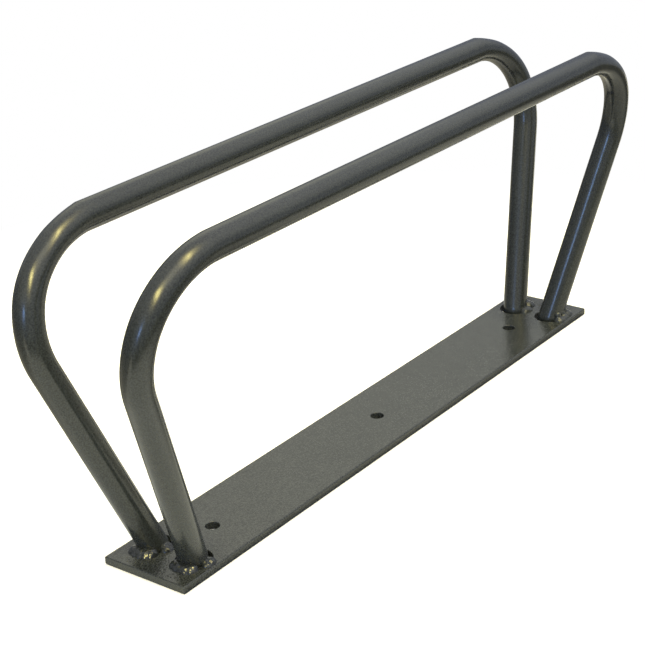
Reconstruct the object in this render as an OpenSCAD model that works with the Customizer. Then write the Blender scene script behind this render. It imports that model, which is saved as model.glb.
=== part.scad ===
// Bike rack for a wall or floor: two bent tube hoops leaning apart on a flat steel base plate.
// A wheel stands between the hoops. Lengths are in millimetres.
// Origin: centre of the plate's mounting face. X runs along the plate, Z away from the wall.

/* [Base plate] */
// Length of the flat bar
plate_l = 450; // [420:5:600]
// Width of the flat bar
plate_w = 60; // [58:1:90]
// Thickness of the flat bar
plate_t = 5; // [4:0.5:8]
// Rounding of the bar's rolled long edges
plate_edge_r = 1; // [0.5:0.1:1.5]
// Diameter of the three screw holes
screw_hole_d = 8.5; // [6:0.5:11]
// Distance of each outer screw hole from its plate end
screw_inset = 59; // [52:1:90]

/* [Tube] */
// Outer diameter of the hoop tube
tube_d = 17.2; // [15:0.1:18]
// Wall of the hoop tube
tube_wall = 1.8; // [1.2:0.1:3]
// Centreline radius of the bends
bend_r = 51; // [40:1:60]

/* [Hoops] */
// Height of the rack from the wall to the top of the bars
rack_h = 206; // [180:1:260]
// How far the hoops reach past each end of the plate
overhang = 35; // [20:1:45]
// Distance of each foot's centre from its plate end, on the plate's outer face
foot_inset = 25; // [22:0.5:30]
// Distance between the feet of the two hoops, centre to centre
foot_spacing = 30; // [27:0.5:31]
// Distance between the two top bars, centre to centre
bar_spacing = 90; // [70:1:120]
// Clearance round a leaning foot where it comes nearest its hole's wall
foot_clear = 0.3; // [0.2:0.05:0.5]

/* [Welds] */
// Radius of the lumps in the long bead at the outer end of a foot
bead_r = 5.3; // [4.6:0.1:5.4]
// Distance from the tube's wall out to the centres of those lumps
bead_out = 2; // [1.4:0.1:2.2]
// Angle from the foot's outer end to the middle of the long bead, towards the front
bead_angle = 8; // [0:1:8]
// Angle from the long bead's middle to its first and last lump
bead_sweep = 24; // [18:1:24]
// Radius of the lumps in the short bead on the front flank of a foot
tack_r = 4.3; // [3.4:0.1:4.4]
// Distance from the tube's wall out to the centres of those lumps
tack_out = 1.1; // [0.6:0.1:1.2]
// Angle from the foot's outer end to the middle of the short bead, towards the front
tack_angle = 93; // [92:1:100]
// Angle from the short bead's middle to its first and last lump
tack_sweep = 6; // [4:1:7]
// Depth of the lumps' centres below the plate's outer face
lump_sink = 1.2; // [0.8:0.1:1.6]

/* [Hidden] */
$fn = 64;
enamel = "#5c5f5b";
FRONT = -1;
BACK = 1;
LEFT = -1;
RIGHT = 1;
// How far a cutting shape runs past what it cuts
overrun = 1;

// Screw holes: one in the middle, one near each end
screw_xs = [for (i = [-1 : 1]) i * (plate_l / 2 - screw_inset)];

// The hoops, measured in their own leaning planes from the plate's outer face
foot_x = plate_l / 2 - foot_inset;
bar_rise = rack_h - tube_d / 2 - plate_t;
splay = atan2((bar_spacing - foot_spacing) / 2, bar_rise);
hoop_h = bar_rise / cos(splay);
bend_x = plate_l / 2 + overhang - tube_d / 2 - bend_r;
bend_z = hoop_h - bend_r;

// A leg runs from its foot to touch the bend, so its flare follows from the two
foot_to_bend = norm([bend_x - foot_x, bend_z]);
leg_l = sqrt(foot_to_bend ^ 2 - bend_r ^ 2);
leg_flare = asin(bend_r / foot_to_bend) + atan2(bend_x - foot_x, bend_z);

// A leg's slope seen from above: its direction, its lean from upright and its bearing
leg_dir = [sin(leg_flare), cos(leg_flare) * sin(splay), cos(leg_flare) * cos(splay)];
lean = acos(leg_dir.z);
lean_bearing = atan2(leg_dir.y, leg_dir.x);

// A straight hole that lets the leaning tube through, centred where the tube is halfway through
foot_hole_d = tube_d / cos(lean) + plate_t * tan(lean) + 2 * foot_clear;
foot_hole_x = foot_x - plate_t / 2 * leg_dir.x / leg_dir.z;
foot_hole_y = foot_spacing / 2 - plate_t / 2 * leg_dir.y / leg_dir.z;

// The size of each lump in a bead, in turn, as a share of the bead's lump radius
bead_shares = [0.9, 1.03, 0.94, 1.05, 0.92];
tack_shares = [0.88, 1.05, 0.92];

// Section of the flat bar, with rolled long edges
module bar_section() {
    flat_w = plate_w - 2 * plate_edge_r;
    flat_t = plate_t - 2 * plate_edge_r;
    translate([-flat_w / 2, 0]) square([flat_w, plate_t]);
    translate([-plate_w / 2, plate_edge_r]) square([plate_w, flat_t]);
    for (x = [-flat_w / 2, flat_w / 2], y = [plate_edge_r, plate_edge_r + flat_t])
        translate([x, y]) circle(r = plate_edge_r);
}

// A straight hole through the plate
module plate_hole(x, y, d) {
    translate([x, y, -overrun]) cylinder(d = d, h = plate_t + 2 * overrun);
}

module base_plate() {
    color(enamel) difference() {
        rotate([90, 0, 90]) linear_extrude(height = plate_l, center = true) bar_section();
        for (x = screw_xs) plate_hole(x, 0, screw_hole_d);
        for (x = [-foot_hole_x, foot_hole_x], y = [-foot_hole_y, foot_hole_y])
            plate_hole(x, y, foot_hole_d);
    }
}

// Puts a shape drawn in a hoop's plane on the rack: X along the bar, Z up the leaning plane
module in_hoop_plane(side) {
    mirror([0, side == BACK ? 1 : 0, 0])
        translate([0, -foot_spacing / 2, plate_t]) rotate([splay, 0, 0]) children();
}

// Puts a shape at the centre of the bend at one end of the hoop
module at_bend(end) {
    mirror([end == LEFT ? 1 : 0, 0, 0]) translate([bend_x, 0, bend_z]) children();
}

// Half of the top bar, from the bend to the middle
module half_bar(d) {
    translate([-bend_x, 0, bend_r]) rotate([0, 90, 0]) cylinder(d = d, h = bend_x);
}

// The bend: half a turn of tube, trimmed square to the bar and to the leg
module bend(d) {
    block = 2 * (bend_r + tube_d);
    difference() {
        rotate([90, 0, 0]) rotate_extrude(angle = 180, start = -90)
            translate([bend_r, 0]) circle(d = d);
        rotate([0, leg_flare, 0]) translate([0, -block / 2, -block]) cube(block);
        translate([-block, -block / 2, -block]) cube(block);
    }
}

// A leg: from the bend, through the plate and past its far face
module leg(d) {
    run = leg_l + plate_t / cos(lean) + tube_d;
    rotate([0, leg_flare, 0]) translate([bend_r, 0, -run]) cylinder(d = d, h = run);
}

// The whole run of a hoop's tube, drawn solid with diameter d
module tube_run(d) {
    for (end = [LEFT, RIGHT]) at_bend(end) {
        half_bar(d);
        bend(d);
        leg(d);
    }
}

// All that lies below height z, as a block wider than the rack
module below(z) {
    size = 2 * (plate_l + overhang);
    translate([-size / 2, -size / 2, z - size]) cube(size);
}

// A bent tube hoop, its open ends cut flush with the plate's mounting face
module hoop(side) {
    color(enamel) difference() {
        in_hoop_plane(side) difference() {
            tube_run(tube_d);
            tube_run(tube_d - 2 * tube_wall);
        }
        below(0);
    }
}

// Distance from a foot's centre to the tube's wall on the plate, at an angle from the plate's end
// away from the other hoop
function wall_at(a) = tube_d / 2 / sqrt(1 - (sin(lean) * cos(a - lean_bearing)) ^ 2);

// A weld bead on the plate: lumps laid round a foot, to each side of the angle middle, where
// angle 0 points out of the plate's end and 90 points to the front
module weld(side, end, middle, sweep, lump_r, out, shares) {
    steps = len(shares) - 1;
    color(enamel) difference() {
        mirror([end == LEFT ? 1 : 0, 0, 0])
            translate([foot_x, side * foot_spacing / 2, plate_t - lump_sink])
                for (i = [0 : steps]) {
                    a = middle + sweep * (2 * i / steps - 1);
                    r = wall_at(side == FRONT ? a : -a) + out;
                    translate([r * cos(a), -r * sin(a), 0]) sphere(r = lump_r * shares[i]);
                }
        in_hoop_plane(side) at_bend(end) leg(tube_d);
        below(plate_t);
    }
}

// The long bead round the outer end of a foot
module weld_end(side, end) {
    weld(side, end, bead_angle, bead_sweep, bead_r, bead_out, bead_shares);
}

// The short bead on the front flank of a foot
module weld_side(side, end) {
    weld(side, end, tack_angle, tack_sweep, tack_r, tack_out, tack_shares);
}

base_plate();
hoop(FRONT);  // front_hoop
hoop(BACK);  // back_hoop
weld_end(FRONT, LEFT);  // weld_front_left_end
weld_side(FRONT, LEFT);  // weld_front_left_side
weld_end(FRONT, RIGHT);  // weld_front_right_end
weld_side(FRONT, RIGHT);  // weld_front_right_side
weld_end(BACK, LEFT);  // weld_back_left_end
weld_side(BACK, LEFT);  // weld_back_left_side
weld_end(BACK, RIGHT);  // weld_back_right_end
weld_side(BACK, RIGHT);  // weld_back_right_side
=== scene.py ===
"""Bike rack for a wall or floor: two bent tube hoops stand in a drilled steel bar and are welded
to it, and one coat of graphite enamel covers it all. Lengths are in metres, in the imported
model's frame: X along the plate, Y across it, Z away from its mounting face."""

import math

import bmesh
import bpy
from mathutils import Matrix, Vector


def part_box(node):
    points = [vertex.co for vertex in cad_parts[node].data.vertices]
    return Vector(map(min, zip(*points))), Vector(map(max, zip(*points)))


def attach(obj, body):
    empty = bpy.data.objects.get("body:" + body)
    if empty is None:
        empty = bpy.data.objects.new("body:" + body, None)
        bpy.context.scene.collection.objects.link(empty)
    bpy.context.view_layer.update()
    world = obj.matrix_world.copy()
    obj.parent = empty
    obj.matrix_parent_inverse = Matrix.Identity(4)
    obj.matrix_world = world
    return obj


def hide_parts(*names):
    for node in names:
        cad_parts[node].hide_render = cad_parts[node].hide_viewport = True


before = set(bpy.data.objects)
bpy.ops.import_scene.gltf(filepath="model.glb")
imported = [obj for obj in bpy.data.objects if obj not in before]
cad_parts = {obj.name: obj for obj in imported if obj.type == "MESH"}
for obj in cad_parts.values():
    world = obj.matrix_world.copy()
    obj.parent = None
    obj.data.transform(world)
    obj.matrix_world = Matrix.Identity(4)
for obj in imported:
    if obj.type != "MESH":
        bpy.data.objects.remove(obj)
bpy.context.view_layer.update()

MM = 0.001
SIDES = {"front": -1, "back": 1}
ENDS = {"left": -1, "right": 1}

# Sizes that the part's source holds, or that follow from them
TUBE_D = 17.2 * MM
TUBE_WALL = 1.8 * MM
BEND_R = 51 * MM
FOOT_X = 200 * MM
FOOT_Y = 15 * MM
BAR_Y = 45 * MM
SCREW_HOLE_D = 8.5 * MM
SCREW_PITCH = 166 * MM
FOOT_CLEAR = 0.3 * MM
PLATE_EDGE_R = 1 * MM
RACK_H = 206 * MM
# From the rack's middle to the outside of a bend
HOOP_REACH = 260 * MM

plate_low, plate_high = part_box("base_plate")
PLATE_L = plate_high.x - plate_low.x
PLATE_W = plate_high.y - plate_low.y
PLATE_T = plate_high.z - plate_low.z

# A hoop's own plane, measured from the plate's outer face: u along the bar, v up the plane
tube_r = TUBE_D / 2
bar_rise = RACK_H - tube_r - PLATE_T
splay = math.atan2(BAR_Y - FOOT_Y, bar_rise)
hoop_h = bar_rise / math.cos(splay)
bend_u = HOOP_REACH - tube_r - BEND_R
bend_v = hoop_h - BEND_R
foot_to_bend = math.hypot(bend_u - FOOT_X, bend_v)
flare = math.asin(BEND_R / foot_to_bend) + math.atan2(bend_u - FOOT_X, bend_v)
leg_run = Vector(
    (math.sin(flare), math.cos(flare) * math.sin(splay), math.cos(flare) * math.cos(splay))
)
lean = math.acos(leg_run.z)


def hoop_point(side, u, v):
    """A point of a hoop's plane, in the row frame."""
    return Vector((u, side * (FOOT_Y + v * math.sin(splay)), PLATE_T + v * math.cos(splay)))


def srgb(text):
    """The linear colour of an sRGB hex value."""
    parts = [int(text[i : i + 2], 16) / 255 for i in (1, 3, 5)]
    return [c / 12.92 if c <= 0.04045 else ((c + 0.055) / 1.055) ** 2.4 for c in parts] + [1]


def add(tree, kind, inputs=None, **settings):
    """Adds a node with its settings. inputs gives sockets, by name or number, a value or a link."""
    made = tree.nodes.new(kind)
    for name, value in settings.items():
        setattr(made, name, value)
    for key, value in (inputs or {}).items():
        if isinstance(value, bpy.types.NodeSocket):
            tree.links.new(value, made.inputs[key])
        else:
            made.inputs[key].default_value = value
    return made


# Materials

# Widths of the coat's patterns, and the heights of those in relief
DRIFT_W = 35 * MM
HAZE_W = 7 * MM
PEEL_W, PEEL_H = 1.6 * MM, 0.012 * MM
ROUGH_W, ROUGH_H = 1.3 * MM, 0.3 * MM
# Pigment grain is far finer than this, and is drawn this wide so that it shows
GRAIN_W = 0.9 * MM
# How far from a foot's centre the rough coat is at its full height, and where it ends
ROUGH_FULL, ROUGH_ENDS = 17 * MM, 34 * MM
# Most of a noise pattern lies between these
NOISE_LOW, NOISE_HIGH = 0.3, 0.7


def enamel(
    name,
    tones=("#262929", "#2f3233"),
    shine=(0.17, 0.24),
    speck=(0.65, 1.45),
    grit=0.016 * MM,
    rough_feet=False,
):
    """Gloss graphite enamel, sprayed on steel: a dark body with fine grain under a smooth skin, so
    that it mirrors the room softly and stays dark where nothing bright faces it. Round the feet
    the plate's coat also lies over the fine spatter and scale that welding left. tones gives the
    body's darkest and lightest colour, shine the skin's least and greatest roughness, speck how
    far the grain dims and lightens the body, and grit how high it stands."""
    made = bpy.data.materials.new(name)
    made.use_nodes = True
    tree = made.node_tree
    tree.nodes.clear()
    place = add(tree, "ShaderNodeTexCoord").outputs["Object"]

    # Tone drifts over a few centimetres, as a sprayed coat does
    drift = add(
        tree,
        "ShaderNodeTexNoise",
        {"Vector": place, "Scale": 1 / DRIFT_W, "Detail": 2, "Roughness": 0.5},
    )
    tone = add(
        tree,
        "ShaderNodeMix",
        {0: drift.outputs[0], 6: srgb(tones[0]), 7: srgb(tones[1])},
        data_type="RGBA",
    )

    # Pigment grain, in the body's tone here and in the skin's relief below
    grain = add(
        tree,
        "ShaderNodeTexNoise",
        {"Vector": place, "Scale": 1 / GRAIN_W, "Detail": 1, "Roughness": 0.6},
    )
    specks = add(
        tree,
        "ShaderNodeMapRange",
        {0: grain.outputs[0], 1: NOISE_LOW, 2: NOISE_HIGH, 3: speck[0], 4: speck[1]},
    )
    colour = add(
        tree,
        "ShaderNodeVectorMath",
        {0: tone.outputs[2], 3: specks.outputs[0]},
        operation="SCALE",
    )

    # The skin's roughness varies a little over a few millimetres
    haze = add(
        tree,
        "ShaderNodeTexNoise",
        {"Vector": place, "Scale": 1 / HAZE_W, "Detail": 3, "Roughness": 0.55},
    )
    polish = add(
        tree,
        "ShaderNodeMapRange",
        {0: haze.outputs[0], 1: NOISE_LOW, 2: NOISE_HIGH, 3: shine[0], 4: shine[1]},
    )

    # Orange peel: soft waves that set in the wet coat, with the grain standing in them
    peel = add(
        tree,
        "ShaderNodeTexNoise",
        {"Vector": place, "Scale": 1 / PEEL_W, "Detail": 2, "Roughness": 0.45},
    )
    relief = add(
        tree,
        "ShaderNodeBump",
        {"Height": peel.outputs[0], "Strength": 0.5, "Distance": PEEL_H},
    )
    if rough_feet:
        relief = spatter_relief(tree, place, relief)
    grain_relief = add(
        tree,
        "ShaderNodeBump",
        {
            "Height": grain.outputs[0],
            "Strength": 0.5,
            "Distance": grit,
            "Normal": relief.outputs[0],
        },
    )
    skin = add(
        tree,
        "ShaderNodeBsdfPrincipled",
        {
            "Base Color": colour.outputs[0],
            "Roughness": polish.outputs[0],
            "IOR": 1.5,
            "Normal": grain_relief.outputs[0],
        },
    )
    add(tree, "ShaderNodeOutputMaterial", {"Surface": skin.outputs[0]})
    return made


def spatter_relief(tree, place, under):
    """Bumps on top of the relief under, which fade out away from the nearest foot."""
    folded = add(tree, "ShaderNodeVectorMath", {0: place}, operation="ABSOLUTE").outputs[0]
    foot = (FOOT_X, FOOT_Y, PLATE_T)
    gap = add(tree, "ShaderNodeVectorMath", {0: folded, 1: foot}, operation="DISTANCE")
    near = add(
        tree,
        "ShaderNodeMapRange",
        {0: gap.outputs[1], 1: ROUGH_FULL, 2: ROUGH_ENDS, 3: 1.0, 4: 0.0},
    )
    lumps = add(
        tree,
        "ShaderNodeTexNoise",
        {"Vector": place, "Scale": 1 / ROUGH_W, "Detail": 2, "Roughness": 0.55},
    )
    return add(
        tree,
        "ShaderNodeBump",
        {
            "Height": lumps.outputs[0],
            "Strength": near.outputs[0],
            "Distance": ROUGH_H,
            "Normal": under.outputs[0],
        },
    )


# A flat face mirrors one even part of the room, so the grain is drawn stronger there to show
plate_enamel = enamel(
    "graphite_enamel_on_rolled_bar", speck=(0.35, 1.8), grit=0.055 * MM, rough_feet=True
)
tube_enamel = enamel("graphite_enamel_on_drawn_tube")
# On the beads the coat lies thicker, so it is glossier, and the beads' darker tone is painted shade
shaded_weld_enamel = enamel(
    "graphite_enamel_on_weld_bead_painted_dark", tones=("#1c1f22", "#272a2c"), shine=(0.07, 0.12)
)


# Making pieces from node trees


def new_tree(name, sizes):
    """A geometry node tree with an input for the base geometry and one for each named size."""
    tree = bpy.data.node_groups.new(name, "GeometryNodeTree")
    tree.interface.new_socket("Geometry", in_out="OUTPUT", socket_type="NodeSocketGeometry")
    tree.interface.new_socket("Geometry", in_out="INPUT", socket_type="NodeSocketGeometry")
    for label, kind in sizes.items():
        tree.interface.new_socket(label, in_out="INPUT", socket_type="NodeSocket" + kind)
    given = tree.nodes.new("NodeGroupInput")
    return tree, given.outputs


def close_tree(tree, geometry, material):
    """Ends a tree: instances become real, and the material is set."""
    real = add(tree, "GeometryNodeRealizeInstances", {0: geometry})
    coated = add(tree, "GeometryNodeSetMaterial", {0: real.outputs[0], "Material": material})
    add(tree, "NodeGroupOutput", {0: coated.outputs[0]})


def grow(name, tree, base, values):
    """Runs a tree on base data with these input values, and returns the result as a plain mesh."""
    carrier = bpy.data.objects.new(name, base)
    bpy.context.scene.collection.objects.link(carrier)
    made = carrier.modifiers.new("grow", "NODES")
    made.node_group = tree
    ids = {s.name: s.identifier for s in tree.interface.items_tree if s.in_out == "INPUT"}
    for label, value in values.items():
        made[ids[label]] = value
    bpy.context.view_layer.update()
    graph = bpy.context.evaluated_depsgraph_get()
    mesh = bpy.data.meshes.new_from_object(carrier.evaluated_get(graph), depsgraph=graph)
    bpy.data.objects.remove(carrier)
    mesh.name = name
    piece = bpy.data.objects.new(name, mesh)
    bpy.context.scene.collection.objects.link(piece)
    return piece


def stands_for(piece, node):
    """The piece rides with the rack in place of a CAD node, which is hidden."""
    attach(piece, "root")
    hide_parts(node)


def bake_modifiers(piece):
    """Turns a piece's modifiers into its own mesh."""
    bpy.context.view_layer.update()
    graph = bpy.context.evaluated_depsgraph_get()
    done = bpy.data.meshes.new_from_object(piece.evaluated_get(graph), depsgraph=graph)
    piece.modifiers.clear()
    piece.data = done


# Base plate

EDGE_STEPS = 6
SCREW_HOLE_SIDES = 64
FOOT_HOLE_SIDES = 96
# Sheared ends and drilled rims are sharp in bare steel, and the coat rounds them by this much
COAT_ROUND = 0.5 * MM


def drilled_bar_tree():
    """A flat bar with rolled long edges, a row of screw holes and four holes for the feet."""
    tree, given = new_tree(
        "drilled_bar",
        {
            "Length": "Float",
            "Width": "Float",
            "Thickness": "Float",
            "Edge radius": "Float",
            "Screw hole": "Float",
            "Screw pitch": "Float",
            "Foot hole": "Float",
            "Foot hole reach": "Vector",
            "Enamel": "Material",
        },
    )
    half = add(tree, "ShaderNodeMath", {0: given["Length"], 1: -0.5}, operation="MULTIPLY")
    start = add(tree, "ShaderNodeCombineXYZ", {0: half.outputs[0]})
    end = add(tree, "ShaderNodeVectorMath", {0: start.outputs[0], 3: -1.0}, operation="SCALE")
    run = add(tree, "GeometryNodeCurvePrimitiveLine", {0: start.outputs[0], 1: end.outputs[0]})
    outline = add(
        tree,
        "GeometryNodeCurvePrimitiveQuadrilateral",
        {"Width": given["Width"], "Height": given["Thickness"]},
    )
    rolled = add(
        tree,
        "GeometryNodeFilletCurve",
        {
            "Curve": outline.outputs[0],
            "Count": EDGE_STEPS,
            "Radius": given["Edge radius"],
            "Limit Radius": True,
        },
        mode="POLY",
    )
    bar = add(
        tree,
        "GeometryNodeCurveToMesh",
        {0: run.outputs[0], 1: rolled.outputs[0], "Fill Caps": True},
    )
    lift = add(tree, "ShaderNodeMath", {0: given["Thickness"], 1: 0.5}, operation="MULTIPLY")
    up = add(tree, "ShaderNodeCombineXYZ", {2: lift.outputs[0]})
    bar = add(tree, "GeometryNodeTransform", {0: bar.outputs[0], "Translation": up.outputs[0]})

    back = add(tree, "ShaderNodeMath", {0: given["Screw pitch"], 1: -1}, operation="MULTIPLY")
    first = add(tree, "ShaderNodeCombineXYZ", {0: back.outputs[0]})
    step = add(tree, "ShaderNodeCombineXYZ", {0: given["Screw pitch"]})
    row = add(
        tree,
        "GeometryNodeMeshLine",
        {"Count": 3, "Start Location": first.outputs[0], "Offset": step.outputs[0]},
        mode="OFFSET",
    )
    twice = add(
        tree, "ShaderNodeVectorMath", {0: given["Foot hole reach"], 3: 2.0}, operation="SCALE"
    )
    spread = add(tree, "ShaderNodeSeparateXYZ", {0: twice.outputs[0]})
    corners = add(
        tree,
        "GeometryNodeMeshGrid",
        {
            "Size X": spread.outputs[0],
            "Size Y": spread.outputs[1],
            "Vertices X": 2,
            "Vertices Y": 2,
        },
    )
    # Each drill is centred on the mounting face and runs past both faces of the bar
    depth = add(tree, "ShaderNodeMath", {0: given["Thickness"], 1: 3.0}, operation="MULTIPLY")
    cuts = add(tree, "GeometryNodeJoinGeometry")
    for spots, diameter, sides in (
        (row.outputs[0], given["Screw hole"], SCREW_HOLE_SIDES),
        (corners.outputs[0], given["Foot hole"], FOOT_HOLE_SIDES),
    ):
        radius = add(tree, "ShaderNodeMath", {0: diameter, 1: 0.5}, operation="MULTIPLY")
        drill = add(
            tree,
            "GeometryNodeMeshCylinder",
            {"Vertices": sides, "Radius": radius.outputs[0], "Depth": depth.outputs[0]},
        )
        placed = add(
            tree, "GeometryNodeInstanceOnPoints", {"Points": spots, "Instance": drill.outputs[0]}
        )
        real = add(tree, "GeometryNodeRealizeInstances", {0: placed.outputs[0]})
        tree.links.new(real.outputs[0], cuts.inputs[0])
    drilled = add(
        tree,
        "GeometryNodeMeshBoolean",
        {0: bar.outputs[0], 1: cuts.outputs[0]},
        operation="DIFFERENCE",
        solver="EXACT",
    )
    close_tree(tree, drilled.outputs[0], given["Enamel"])
    return tree


foot_hole_d = TUBE_D / math.cos(lean) + PLATE_T * math.tan(lean) + 2 * FOOT_CLEAR
foot_hole = Vector(
    (
        FOOT_X - PLATE_T / 2 * leg_run.x / leg_run.z,
        FOOT_Y - PLATE_T / 2 * leg_run.y / leg_run.z,
        0,
    )
)
plate = grow(
    "plate",
    drilled_bar_tree(),
    bpy.data.meshes.new("plate_base"),
    {
        "Length": PLATE_L,
        "Width": PLATE_W,
        "Thickness": PLATE_T,
        "Edge radius": PLATE_EDGE_R,
        "Screw hole": SCREW_HOLE_D,
        "Screw pitch": SCREW_PITCH,
        "Foot hole": foot_hole_d,
        "Foot hole reach": foot_hole,
        "Enamel": plate_enamel,
    },
)
soften = plate.modifiers.new("soften", "BEVEL")
soften.width = COAT_ROUND
soften.segments = 3
soften.limit_method = "ANGLE"
soften.angle_limit = math.radians(50)
flatten = plate.modifiers.new("flatten", "WEIGHTED_NORMAL")
flatten.keep_sharp = True
flatten.weight = 100
for face in plate.data.polygons:
    face.use_smooth = True
bake_modifiers(plate)
stands_for(plate, "base_plate")


# Hoops


def bent_tube_tree():
    """A tube along a line with a bend in each half. Where a bend begins, the bending die has
    pressed the wall in, more in one bend than in the other, and the pressing runs out part of the
    way round. The open ends are cut flush at height 0."""
    tree, given = new_tree(
        "bent_tube",
        {
            "Tube radius": "Float",
            "Wall": "Float",
            "Sides": "Int",
            "Half bar": "Float",
            "Press starts": "Float",
            "Press full": "Float",
            "Press fades": "Float",
            "Press ends": "Float",
            "Left share": "Float",
            "Right share": "Float",
            "Flattening": "Float",
            "Shift": "Float",
            "Plane normal": "Vector",
            "Enamel": "Material",
        },
    )
    line = given["Geometry"]

    # How far each ring lies past the place where the bar turns into the bend, and its pressing
    whole = add(tree, "GeometryNodeCurveLength", {0: line}).outputs[0]
    middle = add(tree, "ShaderNodeMath", {0: whole, 1: 0.5}, operation="MULTIPLY").outputs[0]
    gone = add(tree, "GeometryNodeSplineParameter").outputs["Length"]
    aside = add(tree, "ShaderNodeMath", {0: gone, 1: middle}, operation="SUBTRACT").outputs[0]
    aside = add(tree, "ShaderNodeMath", {0: aside}, operation="ABSOLUTE").outputs[0]
    past = add(tree, "ShaderNodeMath", {0: aside, 1: given["Half bar"]}, operation="SUBTRACT")
    left_over = add(
        tree,
        "ShaderNodeMapRange",
        {0: past.outputs[0], 1: given["Press starts"], 2: given["Press full"], 3: 1.0, 4: 0.0},
    ).outputs[0]
    left_over = add(tree, "ShaderNodeMath", {0: left_over, 1: left_over}, operation="MULTIPLY")
    rise = add(tree, "ShaderNodeMath", {0: 1.0, 1: left_over.outputs[0]}, operation="SUBTRACT")
    fade = add(
        tree,
        "ShaderNodeMapRange",
        {0: past.outputs[0], 1: given["Press fades"], 2: given["Press ends"], 3: 1.0, 4: 0.0},
        interpolation_type="SMOOTHSTEP",
    )
    in_right = add(tree, "ShaderNodeMath", {0: gone, 1: middle}, operation="GREATER_THAN")
    share = add(
        tree,
        "GeometryNodeSwitch",
        {0: in_right.outputs[0], 1: given["Left share"], 2: given["Right share"]},
        input_type="FLOAT",
    )
    pressed = add(
        tree, "ShaderNodeMath", {0: rise.outputs[0], 1: fade.outputs[0]}, operation="MULTIPLY"
    ).outputs[0]
    pressed = add(
        tree, "ShaderNodeMath", {0: pressed, 1: share.outputs[0]}, operation="MULTIPLY"
    )

    # Each ring keeps its centre, the way the tube runs there, its pressing and if it is an end
    here = add(tree, "GeometryNodeInputPosition").outputs[0]
    tangent = add(tree, "GeometryNodeInputTangent").outputs[0]
    is_end = add(tree, "GeometryNodeCurveEndpointSelection").outputs[0]
    ring_data = {
        "centre": ("VECTOR", here),
        "run": ("VECTOR", tangent),
        "pressed": ("FLOAT", pressed.outputs[0]),
        "end": ("BOOLEAN", is_end),
    }
    kept = add(tree, "GeometryNodeCaptureAttribute", {0: line})
    for label, (kind, value) in ring_data.items():
        kept.capture_items.new(kind, label)
        tree.links.new(value, kept.inputs[label])
    run = kept.outputs["run"]

    walls = add(tree, "GeometryNodeJoinGeometry")
    inner = add(
        tree, "ShaderNodeMath", {0: given["Tube radius"], 1: given["Wall"]}, operation="SUBTRACT"
    )
    for radius, hollow in ((given["Tube radius"], False), (inner.outputs[0], True)):
        ring = add(
            tree,
            "GeometryNodeCurvePrimitiveCircle",
            {"Resolution": given["Sides"], "Radius": radius},
            mode="RADIUS",
        )
        wall = add(tree, "GeometryNodeCurveToMesh", {0: kept.outputs[0], 1: ring.outputs[0]})
        if hollow:
            wall = add(tree, "GeometryNodeFlipFaces", {0: wall.outputs[0]})
        tree.links.new(wall.outputs[0], walls.inputs[0])

    # Squeeze and shift the section along the bend's own radius
    outward = add(
        tree, "ShaderNodeVectorMath", {0: given["Plane normal"], 1: run}, operation="CROSS_PRODUCT"
    ).outputs[0]
    offset = add(
        tree, "ShaderNodeVectorMath", {0: here, 1: kept.outputs["centre"]}, operation="SUBTRACT"
    )
    reach = add(
        tree, "ShaderNodeVectorMath", {0: offset.outputs[0], 1: outward}, operation="DOT_PRODUCT"
    )
    squeeze = add(
        tree,
        "ShaderNodeMath",
        {0: reach.outputs[1], 1: given["Flattening"], 2: given["Shift"]},
        operation="MULTIPLY_ADD",
    )
    squeeze = add(
        tree,
        "ShaderNodeMath",
        {0: squeeze.outputs[0], 1: kept.outputs["pressed"]},
        operation="MULTIPLY",
    )
    inward = add(
        tree, "ShaderNodeVectorMath", {0: outward, 3: squeeze.outputs[0]}, operation="SCALE"
    )
    pressed_place = add(
        tree, "ShaderNodeVectorMath", {0: here, 1: inward.outputs[0]}, operation="SUBTRACT"
    )
    tube = add(
        tree,
        "GeometryNodeSetPosition",
        {0: walls.outputs[0], "Position": pressed_place.outputs[0]},
    )

    # Slide the end rings along the legs to height 0
    height = add(tree, "ShaderNodeSeparateXYZ", {0: here}).outputs[2]
    slope = add(tree, "ShaderNodeSeparateXYZ", {0: run}).outputs[2]
    slide = add(tree, "ShaderNodeMath", {0: height, 1: slope}, operation="DIVIDE").outputs[0]
    along = add(tree, "ShaderNodeVectorMath", {0: run, 3: slide}, operation="SCALE").outputs[0]
    on_face = add(tree, "ShaderNodeVectorMath", {0: here, 1: along}, operation="SUBTRACT")
    cut = add(
        tree,
        "GeometryNodeSetPosition",
        {0: tube.outputs[0], "Selection": kept.outputs["end"], "Position": on_face.outputs[0]},
    )
    smooth = add(tree, "GeometryNodeSetShadeSmooth", {0: cut.outputs[0]})
    close_tree(tree, smooth.outputs[0], given["Enamel"])
    return tree


tube_tree = bent_tube_tree()
# How far before the bend its pressing begins
PRESS_LEAD = 1.5 * MM
BEND_TURN = math.pi / 2 + flare
# How strongly each bend is pressed, left and right
PRESS_SHARES = {"front": (0.45, 1.15), "back": (0.95, 1.1)}
# How many rings lie in the lead and in a bend, and how far into its hole a leg's last one lies
LEAD_RINGS = 8
BEND_RINGS = 76
LAST_RING = 0.3 * MM


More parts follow.
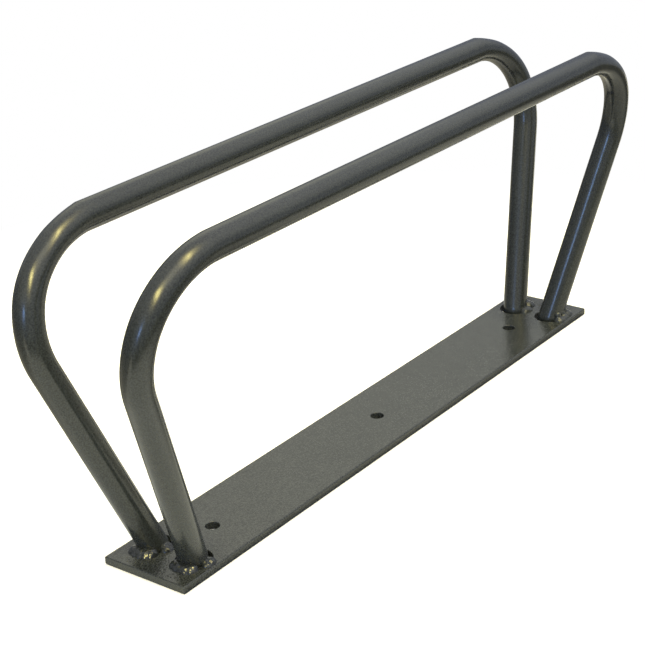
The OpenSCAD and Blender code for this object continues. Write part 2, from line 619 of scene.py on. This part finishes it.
def hoop_line(side):
    """The hoop's centreline from foot to foot, with points close together where the section
    changes or turns, and one in each foot hole, so that the legs shade straight down to there."""
    lead = [(bend_u - PRESS_LEAD * (1 - i / LEAD_RINGS), hoop_h) for i in range(LEAD_RINGS)]
    turns = [BEND_TURN * i / BEND_RINGS for i in range(BEND_RINGS + 1)]
    bend = [(bend_u + BEND_R * math.sin(a), bend_v + BEND_R * math.cos(a)) for a in turns]
    foot_vs = (-LAST_RING, -PLATE_T / math.cos(splay))
    foot = [(FOOT_X + v * math.tan(flare), v) for v in foot_vs]
    half = lead + bend + foot
    points = [(-u, v) for u, v in reversed(half)] + half
    line = bpy.data.curves.new("hoop_line", "CURVE")
    line.dimensions = "3D"
    run = line.splines.new("POLY")
    run.points.add(len(points) - 1)
    for point, (u, v) in zip(run.points, points):
        point.co = (*hoop_point(side, u, v), 1)
    return line


def close_ends(piece):
    """Joins the outer and inner wall with a ring at each open end."""
    mesh = bmesh.new()
    mesh.from_mesh(piece.data)
    rims = [e for e in mesh.edges if e.is_boundary]
    for end in ENDS.values():
        here = [e for e in rims if end * e.verts[0].co.x > 0]
        for face in bmesh.ops.bridge_loops(mesh, edges=here)["faces"]:
            face.smooth = False
    bmesh.ops.recalc_face_normals(mesh, faces=mesh.faces)
    mesh.to_mesh(piece.data)
    mesh.free()


for name, side in SIDES.items():
    hoop = grow(
        name + "_tube",
        tube_tree,
        hoop_line(side),
        {
            "Tube radius": tube_r,
            "Wall": TUBE_WALL,
            "Sides": 72,
            "Half bar": bend_u,
            "Press starts": -PRESS_LEAD,
            "Press full": 18 * MM,
            "Press fades": 24 * MM,
            "Press ends": 64 * MM,
            "Left share": PRESS_SHARES[name][0],
            "Right share": PRESS_SHARES[name][1],
            "Flattening": 0.085,
            "Shift": 1.6 * MM,
            "Plane normal": Vector((0, -math.cos(splay), side * math.sin(splay))),
            "Enamel": tube_enamel,
        },
    )
    close_ends(hoop)
    stands_for(hoop, name + "_hoop")


# Welds

# How finely a bead is meshed, how far lumps stray from their row, how wide its ripples are, and
# how deep it sinks into the tube's wall and into the plate
BEAD_VOXEL = 0.35 * MM
BEAD_BAND = 3 * MM
STRAY = (0.3 * MM, 0.3 * MM, 0.2 * MM)
RIPPLE_W = 2.2 * MM
WALL_SINK = 0.3 * MM
PLATE_SINK = 0.25 * MM
# The least and the greatest size of a row's lumps and of the droplets, as shares
LUMP_SHARES = {"Body": (0.9, 1.05), "Root": (0.75, 1.15), "Toe": (0.65, 1.15)}
DROPLET_SHARES = (0.45, 1.0)
# A droplet's shape, flattened where it lands
DROPLET = (1, 1, 0.7)
SPATTER_SEED = 11
# Farther from the middle than any point of the rack
OUTSIDE = 10.0


def weld_bead_tree():
    """A weld bead: rows of lumps along an arc round a foot, one in its body, one at its root
    against the tube and one at its toe on the plate, run together and rippled. It lies on the
    plate and against the leaning tube, with droplets of spatter farther out."""
    row_sizes = {"radius": "Float", "height": "Float", "lumps": "Int", "lump": "Float"}
    tree, given = new_tree(
        "weld_bead",
        {
            "Foot": "Vector",
            "Leg run": "Vector",
            "Tube radius": "Float",
            "Bead bearing": "Float",
            "Bead sweep": "Float",
            **{f"{row} {size}": kind for row in LUMP_SHARES for size, kind in row_sizes.items()},
            "Smoothing": "Int",
            "Ripple": "Float",
            "Spatter": "Int",
            "Spatter from": "Float",
            "Spatter to": "Float",
            "Spatter bearing": "Float",
            "Spatter fan": "Float",
            "Spatter size": "Float",
            "Seed": "Int",
            "Enamel": "Material",
        },
    )
    here = add(tree, "GeometryNodeInputPosition").outputs[0]
    start = add(
        tree,
        "ShaderNodeMath",
        {0: given["Bead sweep"], 1: -0.5, 2: given["Bead bearing"]},
        operation="MULTIPLY_ADD",
    ).outputs[0]
    lump = add(tree, "GeometryNodeMeshIcoSphere", {"Radius": 1.0, "Subdivisions": 4}).outputs[0]
    lumps = add(tree, "GeometryNodeJoinGeometry")
    for label, shares in LUMP_SHARES.items():
        arc = add(
            tree,
            "GeometryNodeCurveArc",
            {
                "Resolution": given[label + " lumps"],
                "Radius": given[label + " radius"],
                "Start Angle": start,
                "Sweep Angle": given["Bead sweep"],
            },
            mode="RADIUS",
        )
        stray = add(
            tree,
            "FunctionNodeRandomValue",
            {0: [-part for part in STRAY], 1: STRAY, "Seed": given["Seed"]},
            data_type="FLOAT_VECTOR",
        )
        height = add(tree, "ShaderNodeCombineXYZ", {2: given[label + " height"]}).outputs[0]
        raised = add(
            tree, "ShaderNodeVectorMath", {0: stray.outputs[0], 1: height}, operation="ADD"
        )
        spots = add(
            tree, "GeometryNodeSetPosition", {0: arc.outputs[0], "Offset": raised.outputs[0]}
        )
        share = add(
            tree,
            "FunctionNodeRandomValue",
            {2: shares[0], 3: shares[1], "Seed": given["Seed"]},
            data_type="FLOAT",
        )
        size = add(
            tree,
            "ShaderNodeMath",
            {0: share.outputs[1], 1: given[label + " lump"]},
            operation="MULTIPLY",
        )
        placed = add(
            tree,
            "GeometryNodeInstanceOnPoints",
            {"Points": spots.outputs[0], "Instance": lump, "Scale": size.outputs[0]},
        )
        tree.links.new(placed.outputs[0], lumps.inputs[0])
    real = add(tree, "GeometryNodeRealizeInstances", {0: lumps.outputs[0]})
    moved = add(tree, "GeometryNodeTransform", {0: real.outputs[0], "Translation": given["Foot"]})

    # Run the lumps together and smooth the seams between them
    volume = add(
        tree,
        "GeometryNodeMeshToVolume",
        {0: moved.outputs[0], "Voxel Size": BEAD_VOXEL, "Interior Band Width": BEAD_BAND},
        resolution_mode="VOXEL_SIZE",
    )
    fused = add(tree, "GeometryNodeVolumeToMesh", {0: volume.outputs[0]})
    blurred = add(
        tree,
        "GeometryNodeBlurAttribute",
        {"Value": here, "Iterations": given["Smoothing"]},
        data_type="FLOAT_VECTOR",
    )
    soft = add(
        tree, "GeometryNodeSetPosition", {0: fused.outputs[0], "Position": blurred.outputs[0]}
    )

    # Ripples of the set metal
    waves = add(
        tree,
        "ShaderNodeTexNoise",
        {"Vector": here, "Scale": 1 / RIPPLE_W, "Detail": 1, "Roughness": 0.5},
    )
    swell = add(
        tree,
        "ShaderNodeMapRange",
        {0: waves.outputs[0], 1: NOISE_LOW, 2: NOISE_HIGH, 3: -1.0, 4: 1.0},
    )
    swell = add(
        tree,
        "ShaderNodeMath",
        {0: swell.outputs[0], 1: given["Ripple"]},
        operation="MULTIPLY",
    )
    facing = add(tree, "GeometryNodeInputNormal").outputs[0]
    push = add(tree, "ShaderNodeVectorMath", {0: facing, 3: swell.outputs[0]}, operation="SCALE")
    rippled = add(
        tree, "GeometryNodeSetPosition", {0: soft.outputs[0], "Offset": push.outputs[0]}
    )

    # Keep the bead out of the tube's bore: nothing comes nearer the leg's axis than its wall
    keep = add(
        tree, "ShaderNodeMath", {0: given["Tube radius"], 1: WALL_SINK}, operation="SUBTRACT"
    ).outputs[0]
    off = add(tree, "ShaderNodeVectorMath", {0: here, 1: given["Foot"]}, operation="SUBTRACT")
    up_leg = add(
        tree,
        "ShaderNodeVectorMath",
        {0: off.outputs[0], 1: given["Leg run"]},
        operation="DOT_PRODUCT",
    )
    axis = add(
        tree, "ShaderNodeVectorMath", {0: given["Leg run"], 3: up_leg.outputs[1]}, operation="SCALE"
    )
    spoke = add(
        tree, "ShaderNodeVectorMath", {0: off.outputs[0], 1: axis.outputs[0]}, operation="SUBTRACT"
    )
    length = add(tree, "ShaderNodeVectorMath", {0: spoke.outputs[0]}, operation="LENGTH")
    least = add(tree, "ShaderNodeMath", {0: length.outputs[1], 1: keep}, operation="MAXIMUM")
    grown = add(
        tree, "ShaderNodeMath", {0: least.outputs[0], 1: length.outputs[1]}, operation="DIVIDE"
    )
    spoke = add(
        tree, "ShaderNodeVectorMath", {0: spoke.outputs[0], 3: grown.outputs[0]}, operation="SCALE"
    )
    clear = add(
        tree, "ShaderNodeVectorMath", {0: axis.outputs[0], 1: spoke.outputs[0]}, operation="ADD"
    )
    clear = add(
        tree, "ShaderNodeVectorMath", {0: clear.outputs[0], 1: given["Foot"]}, operation="ADD"
    )
    round_tube = add(
        tree, "GeometryNodeSetPosition", {0: rippled.outputs[0], "Position": clear.outputs[0]}
    )

    # Nothing lies deeper in the plate than the sink
    lowest = add(
        tree,
        "ShaderNodeVectorMath",
        {0: given["Foot"], 1: (OUTSIDE, OUTSIDE, PLATE_SINK)},
        operation="SUBTRACT",
    )
    above = add(
        tree, "ShaderNodeVectorMath", {0: here, 1: lowest.outputs[0]}, operation="MAXIMUM"
    )
    bead = add(
        tree, "GeometryNodeSetPosition", {0: round_tube.outputs[0], "Position": above.outputs[0]}
    )

    # Spatter: droplets thrown out over a fan of the plate
    far_out = add(
        tree,
        "FunctionNodeRandomValue",
        {2: given["Spatter from"], 3: given["Spatter to"], "Seed": SPATTER_SEED},
        data_type="FLOAT",
    )
    fan = add(
        tree,
        "ShaderNodeMath",
        {0: given["Spatter fan"], 1: -0.5, 2: given["Spatter bearing"]},
        operation="MULTIPLY_ADD",
    ).outputs[0]
    fan_end = add(tree, "ShaderNodeMath", {0: fan, 1: given["Spatter fan"]}).outputs[0]
    bearing = add(
        tree,
        "FunctionNodeRandomValue",
        {2: fan, 3: fan_end, "Seed": given["Seed"]},
        data_type="FLOAT",
    )
    turn = add(tree, "ShaderNodeCombineXYZ", {2: bearing.outputs[1]}).outputs[0]
    arm = add(tree, "ShaderNodeCombineXYZ", {0: far_out.outputs[1]}).outputs[0]
    thrown = add(
        tree, "ShaderNodeVectorRotate", {"Vector": arm, "Rotation": turn}, rotation_type="EULER_XYZ"
    )
    landed = add(
        tree, "ShaderNodeVectorMath", {0: thrown.outputs[0], 1: given["Foot"]}, operation="ADD"
    )
    spots = add(
        tree, "GeometryNodePoints", {"Count": given["Spatter"], "Position": landed.outputs[0]}
    )
    share = add(
        tree,
        "FunctionNodeRandomValue",
        {2: DROPLET_SHARES[0], 3: DROPLET_SHARES[1], "Seed": given["Seed"]},
        data_type="FLOAT",
    )
    size = add(
        tree,
        "ShaderNodeMath",
        {0: share.outputs[1], 1: given["Spatter size"]},
        operation="MULTIPLY",
    )
    flat = add(
        tree, "ShaderNodeVectorMath", {0: DROPLET, 3: size.outputs[0]}, operation="SCALE"
    )
    drop_shape = add(tree, "GeometryNodeMeshIcoSphere", {"Radius": 1.0, "Subdivisions": 3})
    droplets = add(
        tree,
        "GeometryNodeInstanceOnPoints",
        {"Points": spots.outputs[0], "Instance": drop_shape.outputs[0], "Scale": flat.outputs[0]},
    )
    whole = add(tree, "GeometryNodeJoinGeometry")
    tree.links.new(bead.outputs[0], whole.inputs[0])
    tree.links.new(droplets.outputs[0], whole.inputs[0])
    smooth = add(tree, "GeometryNodeSetShadeSmooth", {0: whole.outputs[0]})
    close_tree(tree, smooth.outputs[0], given["Enamel"])
    return tree


weld_tree = weld_bead_tree()
foot_wall = tube_r / math.cos(lean)
# Each foot has a long bead round its outer end, turned a little to the front, and a short one on
# its front flank. Angles run from the foot's outer end towards the front. Sizes are in
# millimetres: a lump's radius, its distance out from the tube's wall and its height on the plate.
WELDS = {
    "end": {"middle": 8, "sweep": 52, "spatter": 20},
    "side": {"middle": 93, "sweep": 20, "spatter": 4},
}
ROWS = {
    "end": {
        "Body": {"lumps": 5, "lump": 5.2, "out": 2.0, "height": -1.2},
        "Root": {"lumps": 4, "lump": 3.4, "out": -0.4, "height": 0.8},
        "Toe": {"lumps": 5, "lump": 2.4, "out": 5.6, "height": -0.6},
    },
    "side": {
        "Body": {"lumps": 3, "lump": 4.2, "out": 1.1, "height": -1.2},
        "Root": {"lumps": 2, "lump": 3.0, "out": -0.6, "height": 0.8},
        "Toe": {"lumps": 2, "lump": 1.8, "out": 4.0, "height": -0.6},
    },
}

# At the far feet the beads are smoother, in the tubes' enamel without the near beads' gloss and
# painted shade, and the front one's are wider and climb up the tube
NEAR = {"smoothing": 12, "ripple": 0.13, "widen": 0, "climb": 0, "coat": shaded_weld_enamel}
FAR = {"smoothing": 24, "ripple": 0.04, "widen": 0, "climb": 0, "coat": tube_enamel}
FEET = {
    ("front", "left"): NEAR,
    ("front", "right"): FAR | {"widen": 20, "climb": 3.0},
    ("back", "left"): NEAR,
    ("back", "right"): FAR,
}
# How far the fan of spatter turns in towards the plate's middle line, as a slope
SPATTER_SLANT = 0.35


def weld(side_name, end_name, kind, seed):
    """One weld bead at one foot."""
    side, end = SIDES[side_name], ENDS[end_name]
    way = math.radians(WELDS[kind]["middle"])
    foot = FEET[side_name, end_name]
    rows = {}
    for label, row in ROWS[kind].items():
        rows[label + " radius"] = foot_wall + row["out"] * MM
        rows[label + " height"] = row["height"] * MM
        rows[label + " lumps"] = row["lumps"]
        rows[label + " lump"] = row["lump"] * MM
    rows["Root height"] += foot["climb"] * MM
    bead = grow(
        f"{side_name}_{end_name}_{kind}_bead",
        weld_tree,
        bpy.data.meshes.new("bead_base"),
        {
            "Foot": hoop_point(side, end * FOOT_X, 0),
            "Leg run": Vector((end * leg_run.x, side * leg_run.y, leg_run.z)),
            "Tube radius": tube_r,
            "Bead bearing": math.atan2(-math.sin(way), end * math.cos(way)),
            "Bead sweep": math.radians(WELDS[kind]["sweep"] + foot["widen"]),
            **rows,
            "Smoothing": foot["smoothing"],
            "Ripple": foot["ripple"] * MM,
            "Spatter": WELDS[kind]["spatter"],
            "Spatter from": 16 * MM,
            "Spatter to": 23 * MM,
            "Spatter bearing": math.atan2(-side * SPATTER_SLANT, end),
            "Spatter fan": math.radians(84),
            "Spatter size": 0.55 * MM,
            "Seed": seed,
            "Enamel": foot["coat"],
        },
    )
    stands_for(bead, f"weld_{side_name}_{end_name}_{kind}")


seed = 0
for side_name in SIDES:
    for end_name in ENDS:
        for kind in WELDS:
            seed += 1
            weld(side_name, end_name, kind, seed)


# Camera, floor and light

# The camera's place and turn come from fitting the rack's outline, 645 pixels wide
AZIMUTH, ELEVATION, ROLL = (math.radians(a) for a in (-51.972, 23.262, -3.044))
DISTANCE = 1039.933 * MM
ASIDE, ABOVE = -30.735 * MM, -31.097 * MM
FOCUS_PX, FRAME_PX = 1655.108, 645
AIM_ABOVE_PLATE = 100 * MM
SENSOR_W = 36

back = Vector(
    (
        math.sin(AZIMUTH) * math.cos(ELEVATION),
        -math.cos(AZIMUTH) * math.cos(ELEVATION),
        math.sin(ELEVATION),
    )
)
right = Vector((0, 0, 1)).cross(back).normalized()
up = back.cross(right)
right, up = (
    math.cos(ROLL) * right + math.sin(ROLL) * up,
    -math.sin(ROLL) * right + math.cos(ROLL) * up,
)
aim = Vector((0, 0, AIM_ABOVE_PLATE + PLATE_T)) + ASIDE * right + ABOVE * up
lens = bpy.data.cameras.new("camera")
lens.sensor_width = SENSOR_W
lens.lens = SENSOR_W * FOCUS_PX / FRAME_PX
lens.clip_start, lens.clip_end = 0.02, 50
camera = bpy.data.objects.new("camera", lens)
bpy.context.scene.collection.objects.link(camera)
turn = Matrix((right, up, back)).transposed().to_4x4()
camera.matrix_world = Matrix.Translation(aim + DISTANCE * back) @ turn
bpy.context.scene.camera = camera

scene = bpy.context.scene
scene.view_settings.view_transform = "Standard"

# Floor: white to the camera. To the rack it is a grey table with light and shade painted on it:
# painted light round the rack and brightest along the middle, painted shade farther out and dark
# in front, and painted pools of light at the near end and, fainter, in front of the far end. Under
# the plate it lets light through, so that the mounting face shows from below.
FLOOR_R = 1.2
FLOOR_DROP = 0.3 * MM
floor_mesh = bpy.data.meshes.new("floor")
disc = bmesh.new()
bmesh.ops.create_circle(disc, cap_ends=True, segments=128, radius=FLOOR_R)
bmesh.ops.translate(disc, verts=disc.verts, vec=(0, 0, -FLOOR_DROP))
disc.to_mesh(floor_mesh)
disc.free()
floor = bpy.data.objects.new("floor", floor_mesh)
scene.collection.objects.link(floor)
table_top = bpy.data.materials.new("table_top")
table_top.use_nodes = True
floor_mesh.materials.append(table_top)
tree = table_top.node_tree
tree.nodes.clear()
where = add(tree, "ShaderNodeTexCoord").outputs["Object"]
part = add(tree, "ShaderNodeSeparateXYZ", {0: where}).outputs
away = add(tree, "ShaderNodeVectorMath", {0: where}, operation="LENGTH").outputs[1]
aside = add(tree, "ShaderNodeMath", {0: part[0]}, operation="ABSOLUTE").outputs[0]
across = add(tree, "ShaderNodeMath", {0: part[1]}, operation="ABSOLUTE").outputs[0]

# The table is left out under the plate, and just past its edges. Along the long edges it fades in
# over some millimetres, so the dim room below shows through there as a painted shadow of the plate.
TABLE_GAP = 1 * MM
SIDE_SHADOW_FADE = 8 * MM
past_end = add(
    tree,
    "ShaderNodeMapRange",
    {0: aside, 1: PLATE_L / 2, 2: PLATE_L / 2 + TABLE_GAP, 3: 0.0, 4: 1.0},
)
past_side = add(
    tree,
    "ShaderNodeMapRange",
    {0: across, 1: PLATE_W / 2 + TABLE_GAP, 2: PLATE_W / 2 + SIDE_SHADOW_FADE, 3: 0.0, 4: 1.0},
)
off_plate = add(
    tree,
    "ShaderNodeMath",
    {0: past_end.outputs[0], 1: past_side.outputs[0]},
    operation="MAXIMUM",
)

# Centres of the two painted pools of light on the table
NEAR_LIGHT_POOL = (-0.34, -0.16, 0)
FAR_LIGHT_POOL = (0.25, -0.19, 0)
near_pool_gap = add(tree, "ShaderNodeVectorMath", {0: where, 1: NEAR_LIGHT_POOL}, operation="DISTANCE")
far_pool_gap = add(tree, "ShaderNodeVectorMath", {0: where, 1: FAR_LIGHT_POOL}, operation="DISTANCE")
# Each painted light or shade on the table, over the ones before it: what it follows, where it
# starts, where it is full, and its colour
PAINTED_TABLE_LIGHT = (
    (away, 0.70, 0.40, "#969696"),
    (across, 0.10, 0.05, "#f0f3f8"),
    (part[1], -0.04, -0.09, "#424242"),
    (far_pool_gap.outputs[1], 0.28, 0.15, "#b2b5ba"),
    (near_pool_gap.outputs[1], 0.32, 0.19, "#dde3ec"),
)
tone = srgb("#6a6a6a")
for measure, starts, full, colour in PAINTED_TABLE_LIGHT:
    share = add(tree, "ShaderNodeMapRange", {0: measure, 1: starts, 2: full, 3: 0.0, 4: 1.0})
    tone = add(
        tree,
        "ShaderNodeMix",
        {0: share.outputs[0], 6: tone, 7: srgb(colour)},
        data_type="RGBA",
    ).outputs[2]
clear = add(tree, "ShaderNodeBsdfTransparent").outputs[0]
matt = add(tree, "ShaderNodeBsdfDiffuse", {"Color": tone}).outputs[0]
table = add(tree, "ShaderNodeMixShader", {0: off_plate.outputs[0], 1: clear, 2: matt})

# The camera sees the rack's shadow on white near it, and plain white farther out
SHADOW_R, WHITE_R = 0.34, 0.52
SHADOW_LIFT = 0.2
WHITE = srgb("#ffffff")
white = add(tree, "ShaderNodeBsdfDiffuse", {"Color": WHITE})
lift = add(tree, "ShaderNodeEmission", {"Color": WHITE, "Strength": SHADOW_LIFT})
seen_near = add(tree, "ShaderNodeAddShader", {0: white.outputs[0], 1: lift.outputs[0]})
seen_far = add(tree, "ShaderNodeEmission", {"Color": WHITE, "Strength": 1.0})
fade = add(tree, "ShaderNodeMapRange", {0: away, 1: SHADOW_R, 2: WHITE_R, 3: 0.0, 4: 1.0})
seen = add(
    tree,
    "ShaderNodeMixShader",
    {0: fade.outputs[0], 1: seen_near.outputs[0], 2: seen_far.outputs[0]},
)
rays = add(tree, "ShaderNodeLightPath").outputs["Is Camera Ray"]
lit = add(tree, "ShaderNodeMixShader", {0: rays, 1: table.outputs[0], 2: seen.outputs[0]})
below = add(tree, "ShaderNodeNewGeometry").outputs["Backfacing"]
shown = add(tree, "ShaderNodeMixShader", {0: below, 1: lit.outputs[0], 2: clear})
add(tree, "ShaderNodeOutputMaterial", {"Surface": shown.outputs[0]})

# Room: white to the camera. To the rack it is dim and a little blue at eye level, bright overhead,
# and brighter in front than behind.
world = bpy.data.worlds.new("room")
world.use_nodes = True
scene.world = world
tree = world.node_tree
tree.nodes.clear()
way = add(tree, "ShaderNodeTexCoord").outputs["Generated"]
height = add(tree, "ShaderNodeSeparateXYZ", {0: way}).outputs[2]
level = add(tree, "ShaderNodeMapRange", {0: height, 1: -1.0, 2: 1.0, 3: 0.0, 4: 1.0})
ramp = add(tree, "ShaderNodeValToRGB", {0: level.outputs[0]})
ROOM = (  # the sine of the height angle, and the light from there
    (-1.0, (0.10, 0.10, 0.11)),
    (-0.3, (0.10, 0.10, 0.11)),
    (-0.06, (0.31, 0.34, 0.40)),
    (0.0, (0.29, 0.32, 0.41)),
    (0.2, (0.23, 0.26, 0.37)),
    (0.42, (0.66, 0.69, 0.75)),
    (0.64, (0.87, 0.90, 1.01)),
    (0.87, (0.97, 1.00, 1.15)),
    (1.0, (0.92, 0.95, 1.09)),
)
band = ramp.color_ramp
while len(band.elements) < len(ROOM):
    band.elements.new(0.5)
for stop, (at, light) in zip(band.elements, ROOM):
    stop.position = (at + 1) / 2
    stop.color = (*light, 1)
FRONT_WAY = (0.34, -0.94, 0)
BACK_GAIN, FRONT_GAIN = 0.5, 1.45
front = add(tree, "ShaderNodeVectorMath", {0: way, 1: FRONT_WAY}, operation="DOT_PRODUCT")
gain = add(
    tree,
    "ShaderNodeMapRange",
    {0: front.outputs[1], 1: -1.0, 2: 1.0, 3: BACK_GAIN, 4: FRONT_GAIN},
)
light = add(
    tree, "ShaderNodeVectorMath", {0: ramp.outputs[0], 3: gain.outputs[0]}, operation="SCALE"
).outputs[0]


def panel(light, toward, reach, core, colour):
    """Adds a soft-edged panel of light to the room's light, seen in the direction toward. Its edge
    lies at reach along each axis, and its full colour begins at the share core of the way there."""
    toward = Vector(toward).normalized()
    shrink = [1 / size for size in reach]
    off = add(tree, "ShaderNodeVectorMath", {0: way, 1: toward}, operation="SUBTRACT").outputs[0]
    off = add(tree, "ShaderNodeVectorMath", {0: off, 1: shrink}, operation="MULTIPLY").outputs[0]
    off = add(tree, "ShaderNodeVectorMath", {0: off}, operation="LENGTH").outputs[1]
    inside = {0: off, 1: 1.0, 2: core, 3: 0.0, 4: 1.0}
    share = add(tree, "ShaderNodeMapRange", inside, interpolation_type="SMOOTHSTEP").outputs[0]
    glow = add(tree, "ShaderNodeVectorMath", {0: colour, 3: share}, operation="SCALE").outputs[0]
    return add(tree, "ShaderNodeVectorMath", {0: light, 1: glow}).outputs[0]


# The toward, reach, core and colour of each panel
PANELS = (
    # Two long warm lamps on the ceiling, each with a glow round a bright tube
    ((0.15, -0.34, 0.93), (0.22, 0.60, 0.80), 0.20, (4.8, 3.9, 1.3)),
    ((0.16, -0.35, 0.92), (0.07, 0.38, 0.80), 0.20, (25, 21.5, 7.5)),
    ((-0.53, -0.36, 0.77), (0.15, 0.52, 0.80), 0.20, (4.8, 3.9, 1.3)),
    ((-0.53, -0.33, 0.78), (0.08, 0.37, 0.80), 0.20, (28, 24.5, 8.5)),
    # The lit ceiling between them
    ((-0.21, -0.36, 0.91), (0.60, 0.50, 0.60), 0.10, (1.8, 1.7, 1.2)),
    # Daylight from the left, with a small bright window
    ((-0.95, -0.10, 0.24), (0.50, 0.60, 0.45), 0.10, (0.30, 0.40, 0.60)),
    ((-0.95, -0.20, 0.235), (0.14, 0.12, 0.15), 0.50, (1.4, 2.4, 5.6)),
    ((-0.93, -0.28, 0.25), (0.07, 0.08, 0.11), 0.40, (3.5, 6.5, 11)),
    # A pale wall past the far end, and a low one behind
    ((0.59, 0.62, 0.51), (0.47, 0.47, 0.47), 0.20, (0.57, 0.55, 0.36)),
    ((0.00, 0.97, 0.24), (0.45, 0.50, 0.28), 0.20, (0.28, 0.28, 0.24)),
)
for toward, reach, core, colour in PANELS:
    light = panel(light, toward, reach, core, colour)
room = add(tree, "ShaderNodeBackground", {"Color": light, "Strength": 1.0})
white = add(tree, "ShaderNodeBackground", {"Color": WHITE, "Strength": 1.0})
rays = add(tree, "ShaderNodeLightPath").outputs["Is Camera Ray"]
both = add(tree, "ShaderNodeMixShader", {0: rays, 1: room.outputs[0], 2: white.outputs[0]})
add(tree, "ShaderNodeOutputWorld", {"Surface": both.outputs[0]})
